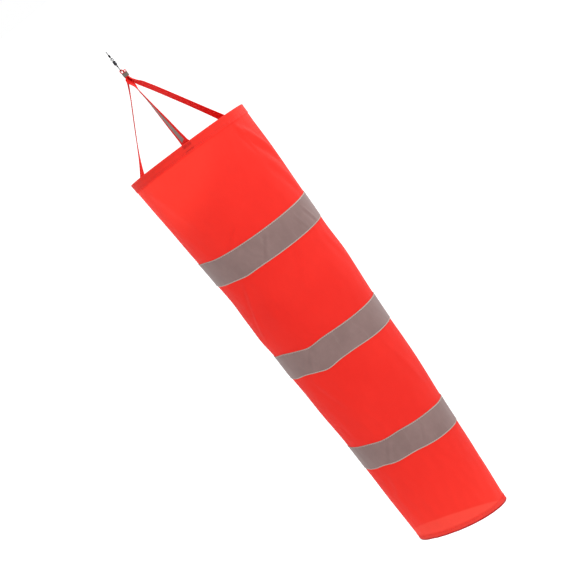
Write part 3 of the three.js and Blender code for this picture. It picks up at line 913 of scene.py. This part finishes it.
def strap(name):
    """Webbing with a reflective stripe on its outer face, sewn on with two rows of stitches."""
    at, share, path, across, through = strap_frames(name)
    side = STRAPS[name]["outer"]
    curl = 0.25 if name == "right" else 0.3 + 0.25 * ease(share, 0.0, 0.06)
    curl = curl * (1 - ease(share, 0.0, 0.3))
    piece = ribbon(f"webbing_{name}", at, path, across, through, WEBBING_W, WEBBING_T, curl=curl)
    finish_piece(piece, RED_WEBBING, "sock_1", [f"strap_{name}"])
    keep = (share > 0.0) & (share < 0.985)
    at, path, across, through, curl = (x[keep] for x in (at, path, across, through, curl))
    stripe = ribbon(f"strap_stripe_{name}", at, path, across, through, STRIPE_W, 0.35,
                    lift=side * (WEBBING_T / 2 + 0.12), curl=curl)
    finish_piece(stripe, STRIPE_TAPE, "sock_1", [f"stripe_{name}"])
    beside = STRIPE_W / 2 + 0.9
    for i, shift in enumerate((-beside, beside)):
        for face, lift in (("outer", side), ("inner", -side)):
            x, y = curled(shift, lift * (WEBBING_T / 2 + 0.02), curl)
            line = path + across * x[:, None] + through * y[:, None]
            red_stitches(stitch_row(f"strap_{name}_stitches_{face}_{i + 1}", line,
                                    lift * through, thread=COARSE), "sock_1")


def bar_tack(name):
    """Dense zigzags that sew the strap's end to the hem; they show inside and outside."""
    at, _, path, across, _ = strap_frames(name, 1.0)
    angle = radians(STRAPS[name]["angle"])
    inward = np.array([-cos(angle), sin(angle), 0.0])
    turns, wide, high = 36, 16, 1.1
    up_strap, down_hem = (2.5, 9.0), (3.2, 5.2, 7.2, HEM - 4.2)     # where its rows are
    count = np.arange(turns + 1)
    zig = np.where(count % 2 == 0, -high, high)
    swing = (count / turns - 0.5) * wide
    rows = []
    for k, back in enumerate(up_strap):
        i = int(np.argmin(np.abs(at - (at[-1] - back))))
        way = unit(path[i] - path[i - 1])
        centre = path[i] + inward * (WEBBING_T / 2 + 0.12)
        points = centre + across[i] * swing[:, None] + way * zig[:, None]
        rows.append(rod(f"tack_{name}_{k}", smooth_path(points, 3), COARSE, 6, to_row=hang))
    for k, down in enumerate(down_hem):
        points = sock_points(down + 0.9 * zig, angle + swing / MOUTH_R, 0.6)
        rows.append(rod(f"tack_out_{name}_{k}", smooth_path(points, 3), 0.12 + 0.06 * (k == 3), 6,
                        to_row=hang))
    piece = merged(f"bar_tack_{name}", rows)
    finish_piece(piece, RED_THREAD, "sock_1", [f"strap_tack_{name}"])


def gathered_ear():
    """Webbing bunched through the swivel's eye, fanning out into the stitched knot."""
    bend = [(-2.25, -1.0), (-2.25, 0.0), (-1.9, 1.25), (-1.05, 2.0), (0.0, 2.28), (1.05, 2.0),
            (1.9, 1.25), (2.25, 0.0), (2.25, -1.0)]
    legs = [(-0.5, -6.8), (-0.8, -4.8), (-1.75, -2.6)], [(2.15, -2.6), (1.9, -4.6), (1.6, -6.5)]
    sides, pleats, rucks = 40, 5, 9
    path = smooth_path([(x, 0.0, z) for x, z in legs[0] + bend + legs[1]], 6)
    fan = ease(-path[:, 2], 0.8, 6.0)
    turn = circle(sides)
    pleat = 1 + 0.17 * np.sin(pleats * turn)[None] * (1 - 0.5 * fan[:, None])
    thin = np.cross(unit(np.gradient(path, axis=0)), Y_WAY)
    half_wide = (1.15 + 7.4 * fan)[:, None] * pleat
    half_thin = (0.95 - 0.25 * fan)[:, None] * pleat
    ruck = 0.22 * np.sin(rucks * turn)[None] * fan[:, None]
    points = rings(path, np.broadcast_to(Y_WAY, path.shape), thin, half_wide, half_thin, turn)
    points = points + thin[:, None] * ruck[..., None]
    u = np.arange(sides + 1) / sides * WEBBING_W * MM
    return grid_object("bridle_ear", hang(points), u, np.arange(len(path)) * 0.4 * MM, "capped")


def folded_end():
    """The webbing's other fold, standing open beside the swivel's eye."""
    x, z, loop_r = 5.3, -2.7, 1.95
    turn = np.linspace(-0.35 * pi, 1.35 * pi, 22)
    loop = smooth_path([(x + loop_r * cos(t), 0.0, z + loop_r * sin(t))
                        for t in turn], 3)
    path = np.vstack([(5.0, 0.0, -7.0), loop, (5.6, 0.0, -7.0)])
    return knot_ribbon("bridle_fold", np.arange(len(path)) * 0.6, path, 17.0, 1.1)


def stitched_core():
    """Layers of webbing sewn on each other inside the collar."""
    layers = []
    for k, x in enumerate((-0.7, 0.8, 2.3, 3.8, 5.3)):
        z = np.linspace(-5.0, -11.6, 8)
        path = np.stack([x + 0.25 * np.sin(z * 0.9 + k), np.zeros(8), z], axis=1)
        layers.append(knot_ribbon(f"core_layer_{k}", -z, path, 16.4, WEBBING_T))
    return merged("bridle_core", layers)


def tape_collar():
    """Reflective tape wound round the stitched core."""
    half_x, half_y, corner, wall, middle = 5.1, 10.4, 1.6, 0.45, 2.6
    low, high, slant = -11.5, -4.5, 0.09
    inner = np.array([half_x - corner, half_y - corner])
    ring = []
    for cx, cy, start in ((1, 1, 0), (-1, 1, 90), (-1, -1, 180), (1, -1, 270)):
        for a in np.radians(np.linspace(start, start + 90, 7)):
            ring.append((cx * inner[0] + corner * cos(a),
                         cy * inner[1] + corner * sin(a)))
    ring = np.array(ring)
    out = unit(ring - np.clip(ring, -inner, inner))
    z = np.concatenate([spaced(low, high, 0.7), spaced(high, low, 0.7)])
    count = len(z) // 2
    reach = np.concatenate([np.zeros(count), np.full(count, -wall)])
    reach[[0, count - 1]] -= 0.12                 # its cut edges are pressed down
    reach += -0.15 * np.exp(-((z - (low + high) / 2) / 1.6) ** 2) + 0.12 * np.sin(z * 2.1 + 1.0)
    points = np.zeros((len(z), len(ring), 3))
    points[..., :2] = ring[None] + out[None] * reach[:, None, None]
    points[..., 2] = z[:, None] - slant * points[..., 0]
    points[..., 0] += middle
    u = np.arange(len(ring) + 1) * 2.0 * MM
    v = (np.append(z, z[0]) + 12) * MM + 0.4      # far from the tape's pale edges
    return grid_object("collar_tape", hang(points), u, v, "joined")


def bridle():
    for make, nodes in ((gathered_ear, ["bridle_loop"]), (folded_end, ()), (stitched_core, ())):
        finish_piece(make(), RED_WEBBING, "sock_1", nodes)
    finish_piece(tape_collar(), COLLAR_TAPE, "sock_1", ["loop_collar"])
    for name in STRAPS:
        strap(name)
        bar_tack(name)


# ---- hoop ----
def hoop():
    """Spring wire round the mouth, and the crimped sleeve that joins its ends at the left."""
    inset, drop = HOOP_AT
    path = sock_points(drop, np.linspace(0, 2 * pi, 241)[:-1], inset, 0.0)
    wire = rod("hoop_wire", path, HOOP_WIRE, 14, closed=True, to_row=hang)
    finish_piece(wire, HOOP_STEEL, "sock_1", ["mouth_hoop"])
    half_length, sleeve_r, count, crimp_at = 8.0, 2.26, 25, 7
    half = half_length / (MOUTH_R + inset)
    from_middle = np.abs(np.arange(count) - count // 2)
    thick = sleeve_r - 0.12 * np.exp(-(np.abs(from_middle - crimp_at) / 1.5) ** 2)
    path = sock_points(drop, np.linspace(pi - half, pi + half, count), inset, 0.0)
    sleeve = rod("hoop_sleeve", path, thick, 20, to_row=hang)
    finish_piece(sleeve, HOOP_STEEL, "sock_1", ["hoop_ferrule"])


# ---- snap and swivel: row-frame millimetres ----
WIRE_R, BOW_R, SNAP_FOOT = 0.65, 3.25, -15.3
WIRE_SIDES, RING_STEPS = 14, 72


def nickel(obj, body, node):
    finish_piece(obj, BLACK_NICKEL, body, [node])


def yz(points):
    """Points of the snap's own plane, which X crosses."""
    return np.array([(0.0, y, z) for y, z in points])


def snap():
    """One wire: a foot loop, a leg and the bow, whose free end comes down as the gate."""
    hinge = WIRE_R - BOW_R
    bow = [(BOW_R * cos(t), hinge + BOW_R * sin(t)) for t in np.linspace(0, pi, 9)]
    foot = [(-0.9, -7.6), (-1.1, -9.6), (-2.2, -12.2), (-1.9, -14.2), (0, SNAP_FOOT),
            (1.9, -14.2), (2.9, -11.6), (BOW_R, -8.6), (BOW_R, -5.4)]
    nickel(rod("snap_spring_wire", smooth_path(yz(foot + bow), 7), WIRE_R, WIRE_SIDES),
           "snap", "snap_wire")
    arm = smooth_path(yz([(-BOW_R, hinge - 0.15), (-BOW_R, -5.0), (-BOW_R, -7.6),
                          (-BOW_R + 0.1, -9.2), (-BOW_R + 0.35, -9.9)]), 8)
    thick = np.full(len(arm), WIRE_R)
    thick[-3:] = WIRE_R * np.array([0.95, 0.85, 0.6])
    nickel(rod("snap_gate_wire", arm, thick, WIRE_SIDES), "gate", "snap_gate")
    nickel(snap_cover(), "snap", "snap_cover")


def snap_cover():
    """Sheet folded over the snap's legs, open on the gate's side, with softly rolled rims."""
    half, sheet, back, front, high, low = 1.1, 0.5, 4.6, -4.4, -6.2, -11.2
    outside = half + sheet
    centre = back - outside
    side = np.linspace(front, centre, 8)
    turn = np.linspace(0, pi, 13)[1:-1]
    walls = []
    for reach in (outside, -half):
        walls.append([(reach, y) for y in side]
                     + [(reach * cos(t), centre + abs(reach) * sin(t)) for t in turn]
                     + [(-reach, y) for y in side[::-1]])
    outline = np.array(walls[0] + walls[1])
    mark = np.repeat([1.0, 0.0], len(walls[0]))
    roll, rim = 0.12, 0.5
    z = np.array([low, low + roll, low + rim, (low + high) / 2, high - rim, high - roll, high])
    shrink = np.array([0.14, 0.03, 0.0, 0.0, 0.0, 0.03, 0.14])[:, None] * mark
    points = np.zeros((len(z), len(outline), 3))
    points[..., 0] = outline[:, 0] - np.sign(outline[:, 0]) * shrink
    points[..., 1] = outline[:, 1] - shrink * (outline[:, 1] > centre)
    points[..., 2] = z[:, None]
    u = np.arange(len(outline) + 1) * MM
    return grid_object("snap_sheet_cover", points * MM, u, z * MM, "capped")


SHANK_R, HEAD_R, HEAD_HEIGHT, HEAD_GAP, SUNK = 0.6, 1.8, 1.1, 0.35, 0.5


def eye_ring(radius_mm, wire, centre_z, plane):
    """The eye's ring, in the XZ or the YZ plane."""
    turn = circle(RING_STEPS)
    a, b = radius_mm * np.cos(turn), centre_z + radius_mm * np.sin(turn)
    zero = np.zeros(RING_STEPS)
    path = np.stack([a, zero, b] if plane == "XZ" else [zero, a, b], axis=1)
    return rod("ring", path, wire, WIRE_SIDES, closed=True)


def post(radius_mm, low, high, name):
    """A short round bar with rounded rims."""
    middle, rim = 0.001, 0.15
    profile = [(middle, low), (radius_mm - rim, low), (radius_mm, low + rim),
               (radius_mm, high - rim), (radius_mm - rim, high), (middle, high)]
    return lathe(name, profile, 28)


def wound_neck(wire, core, low, high, turns):
    """The eye's wire end wound round its own shank."""
    t = np.linspace(0, 1, int(turns * 20))
    turn = t * turns * 2 * pi
    path = np.stack([core * np.cos(turn), core * np.sin(turn), low + (high - low) * t], axis=1)
    return rod("neck", path, wire, 10)


def swivel_eye(which, up, ring, wire, ring_z, plane, head, neck_top=None):
    """A ring on a shank that goes up (1) or down (-1) from it and ends in a head."""
    pieces = [eye_ring(ring, wire, ring_z, plane),
              post(SHANK_R, *sorted((ring_z + up * ring, head + up * SUNK)), "shank"),
              post(HEAD_R, *sorted((head, head + up * HEAD_HEIGHT)), "head")]
    if neck_top is not None:
        pieces.append(wound_neck(0.42, 0.98, ring_z + ring + 0.55, neck_top, 3.2))
    nickel(merged(f"swivel_eye_{which}", pieces), f"{which}_eye", f"swivel_{which}_eye")


def swivel():
    """Two eyes whose headed shanks turn inside a crimped barrel."""
    top, height, outer, wall, end, hole = -19.1, 8.6, 2.75, 0.6, 0.8, 0.95
    bottom = top - height
    ring, wire, play = 2.1, 0.6, 0.3
    ring_z = SNAP_FOOT + WIRE_R + play - (ring - wire)
    swivel_eye("upper", -1, ring, wire, ring_z, "XZ", top - end - HEAD_GAP)

    crimp = [(hole, top), (1.75, top), (2.2, top - 0.22), (2.42, top - 0.7), (2.45, top - 1.1),
             (2.62, top - 1.35), (outer, top - 1.7), (outer, top - 3.4), (2.66, top - 3.7),
             (2.66, top - 3.9), (outer, top - 4.2)]
    below = [(r, top + bottom - z) for r, z in crimp[::-1]]
    cavity = [(hole, bottom + end), (outer - wall, bottom + end), (outer - wall, top - end),
              (hole, top - end)]
    nickel(lathe("swivel_barrel_shell", crimp + below + cavity, 56), "barrel", "swivel_barrel")

    swivel_eye("lower", 1, 4.6, 0.75, -36.4, "YZ", bottom + end + HEAD_GAP, neck_top=-28.4)


# ---- the whole ----
make_studio()
snap()
swivel()
bridle()
hoop()
mouth_hem()
for panel_number in range(len(BAND_TOPS) + 1):
    sock_panel(panel_number)
for band_number in range(len(BAND_TOPS)):
    band(band_number)
tail_hem()
